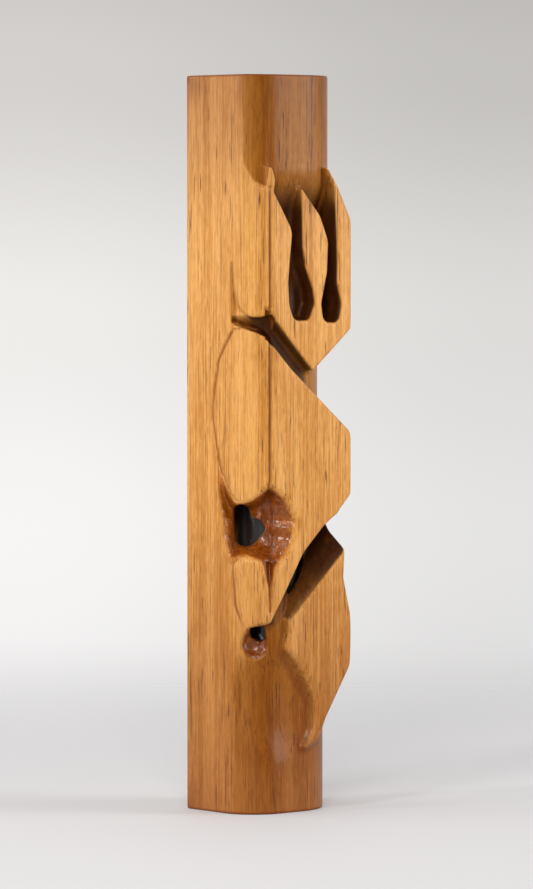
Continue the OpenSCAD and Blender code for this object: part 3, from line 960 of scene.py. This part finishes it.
def dress(piece, material):
    piece.data.materials.clear()
    piece.data.materials.append(material)


# ---- the pieces and their finishes ----

WELD_GAP = 0.001
EASED_FROM = math.radians(40)
COVER_EASE, CAP_EASE, PLATE_EASE = 0.35, 0.2, 0.15


def weld(mesh):
    """Joins corners that lie on one another."""
    shape = bmesh.new()
    shape.from_mesh(mesh)
    bmesh.ops.remove_doubles(shape, verts=shape.verts, dist=WELD_GAP * MM)
    shape.to_mesh(mesh)
    shape.free()


def soften_edges(node, rides, finish, width):
    """A copy of a node with its sharp edges eased, shown in its place."""
    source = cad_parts[node]
    piece = add_object(node + "_eased", source.data.copy())
    piece.matrix_world = source.matrix_world.copy()
    weld(piece.data)
    bevel = piece.modifiers.new("ease", "BEVEL")
    bevel.width = width * MM
    bevel.segments = 2
    bevel.limit_method = "ANGLE"
    bevel.angle_limit = EASED_FROM
    bevel.harden_normals = True
    apply_modifiers(piece)
    dress(piece, finish)
    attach(piece, rides)
    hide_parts(node)


body = carve_body()
dress(body, carved_wood())
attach(body, "case")
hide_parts("case_body")

plate = brass("brass_plate", 0.28, (6, 0.3, 0.3))
screw = brass("brass_screw", 0.22, (2, 2, 2))
tube = dark_plastic("tube_plastic", 0.1)
cap = dark_plastic("cap_plastic", 0.35)
FINISHES = {
    "cover_screws": screw,
    "hanger_screws": screw,
    "scroll_tube": tube,
    "parchment_scroll": parchment(),
    "scroll_band": woven_tape(),
}
for node_name, finish in FINISHES.items():
    dress(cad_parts[node_name], finish)
soften_edges("back_cover", "cover", plain_wood(), COVER_EASE)
for node_name in ("tube_cap_top", "tube_cap_bottom"):
    soften_edges(node_name, "tube", cap, CAP_EASE)
for node_name in ("hanger_plate_top", "hanger_plate_bottom"):
    soften_edges(node_name, "case", plate, PLATE_EASE)


# ---- floor, lights and backdrop ----

FLOOR_SIZE = 2.4
FLOOR_COLOR, FLOOR_FADE = (0.58, 0.57, 0.575, 1), (0.02, 0.45)
AWAY = (math.sin(CAMERA_AZIMUTH), -math.cos(CAMERA_AZIMUTH), 0)
ACROSS = (math.cos(CAMERA_AZIMUTH), math.sin(CAMERA_AZIMUTH), 0)
LIGHT_AIM = Vector((0, 0, 0.07))
WARM, NEUTRAL = (1, 0.985, 0.96), (1, 1, 1)
BACKDROP = [
    (-0.14, (0.74, 0.73, 0.735)), (-0.06, (0.93, 0.92, 0.915)), (-0.02, (0.87, 0.85, 0.83)),
    (0.03, (0.66, 0.64, 0.62)), (0.05, (0.61, 0.59, 0.57))]
BACKDROP_TILT = [(-0.05, (1, 1, 1)), (0.05, (0.84, 0.84, 0.84))]
STUDIO_GLOW = [
    (-1, (0.36, 0.36, 0.36)), (-0.4, (0.42, 0.42, 0.42)), (0.2, (0.62, 0.62, 0.62)), (1, (0.8, 0.8, 0.8))]


def add_floor():
    """A pale floor that fades into the backdrop well away from the object."""
    mesh = bpy.data.meshes.new("floor")
    s = FLOOR_SIZE
    mesh.from_pydata([(-s, -s, 0), (s, -s, 0), (s, s, 0), (-s, s, 0)], [], [(0, 1, 2, 3)])
    floor = add_object("floor", mesh)
    shader = Shader("floor")
    centre = shader.node("ShaderNodeTexCoord").outputs["Object"]
    reach = shader.node("ShaderNodeVectorMath", {0: centre}, operation="LENGTH").outputs["Value"]
    shader.set(Base_Color=FLOOR_COLOR, Roughness=0.75, Alpha=shader.map(reach, *FLOOR_FADE, 1, 0))
    dress(floor, shader.material)


def add_softbox(name, angle, distance, height, size, power, color=NEUTRAL):
    """A softbox at an angle from the camera's direction, aimed at the object."""
    data = bpy.data.lights.new(name, "AREA")
    data.shape = "RECTANGLE"
    data.size, data.size_y = size
    data.energy = power
    data.color = color
    light = bpy.data.objects.new(name, data)
    bpy.context.scene.collection.objects.link(light)
    bearing = CAMERA_AZIMUTH + math.radians(angle)
    light.location = (math.sin(bearing) * distance, -math.cos(bearing) * distance, height)
    light.rotation_euler = (LIGHT_AIM - light.location).to_track_quat("-Z", "Y").to_euler()
    light.visible_camera = False


def toward(world, direction):
    """How far each way points along a direction, 1 to -1."""
    way = world.node("ShaderNodeTexCoord").outputs["Generated"]
    inputs = {0: way, 1: direction}
    return world.node("ShaderNodeVectorMath", inputs, operation="DOT_PRODUCT").outputs["Value"]


def shades(world, value, stops):
    """Colour by a value, from stops of (value, colour), with soft steps between."""
    low, high = stops[0][0], stops[-1][0]
    colors = world.node("ShaderNodeValToRGB")
    colors.color_ramp.interpolation = "EASE"
    world.feed(colors.inputs[0], world.map(value, low, high, smooth=False))
    marks = colors.color_ramp.elements
    while len(marks) < len(stops):
        marks.new(0.5)
    for mark, (at, color) in zip(marks, stops):
        mark.position = (at - low) / (high - low)
        mark.color = (*color, 1)
    return colors.outputs[0]


def add_backdrop():
    """A pale backdrop behind the object; what lies behind the camera is dim, as in a studio."""
    studio = bpy.data.worlds.new("studio")
    bpy.context.scene.world = studio
    studio.use_nodes = True
    world = Nodes(studio.node_tree)
    upright, tilt = toward(world, (0, 0, 1)), toward(world, ACROSS)
    seen = world.mix(1.0, shades(world, upright, BACKDROP), shades(world, tilt, BACKDROP_TILT), "MULTIPLY")
    glow = shades(world, toward(world, tuple(-a for a in AWAY)), STUDIO_GLOW)
    camera_ray = world.node("ShaderNodeLightPath").outputs["Is Camera Ray"]
    background = world.tree.nodes["Background"]
    world.feed(background.inputs[0], world.mix(camera_ray, glow, seen))
    world.feed(world.tree.nodes["World Output"].inputs[0], background.outputs[0])


add_floor()
add_softbox("key", angle=-4, distance=0.95, height=0.5, size=(0.4, 0.35), power=7.0, color=WARM)
add_softbox("left", angle=-98, distance=0.75, height=0.3, size=(0.35, 0.5), power=1.3, color=WARM)
add_softbox("right", angle=84, distance=0.8, height=0.3, size=(0.35, 0.45), power=3.8)
add_softbox("top", angle=-30, distance=0.55, height=0.75, size=(0.12, 0.12), power=1.4)
add_softbox("strip", angle=-66, distance=0.6, height=0.22, size=(0.09, 0.45), power=1.15)
add_backdrop()
bpy.context.scene.view_settings.view_transform = "Standard"
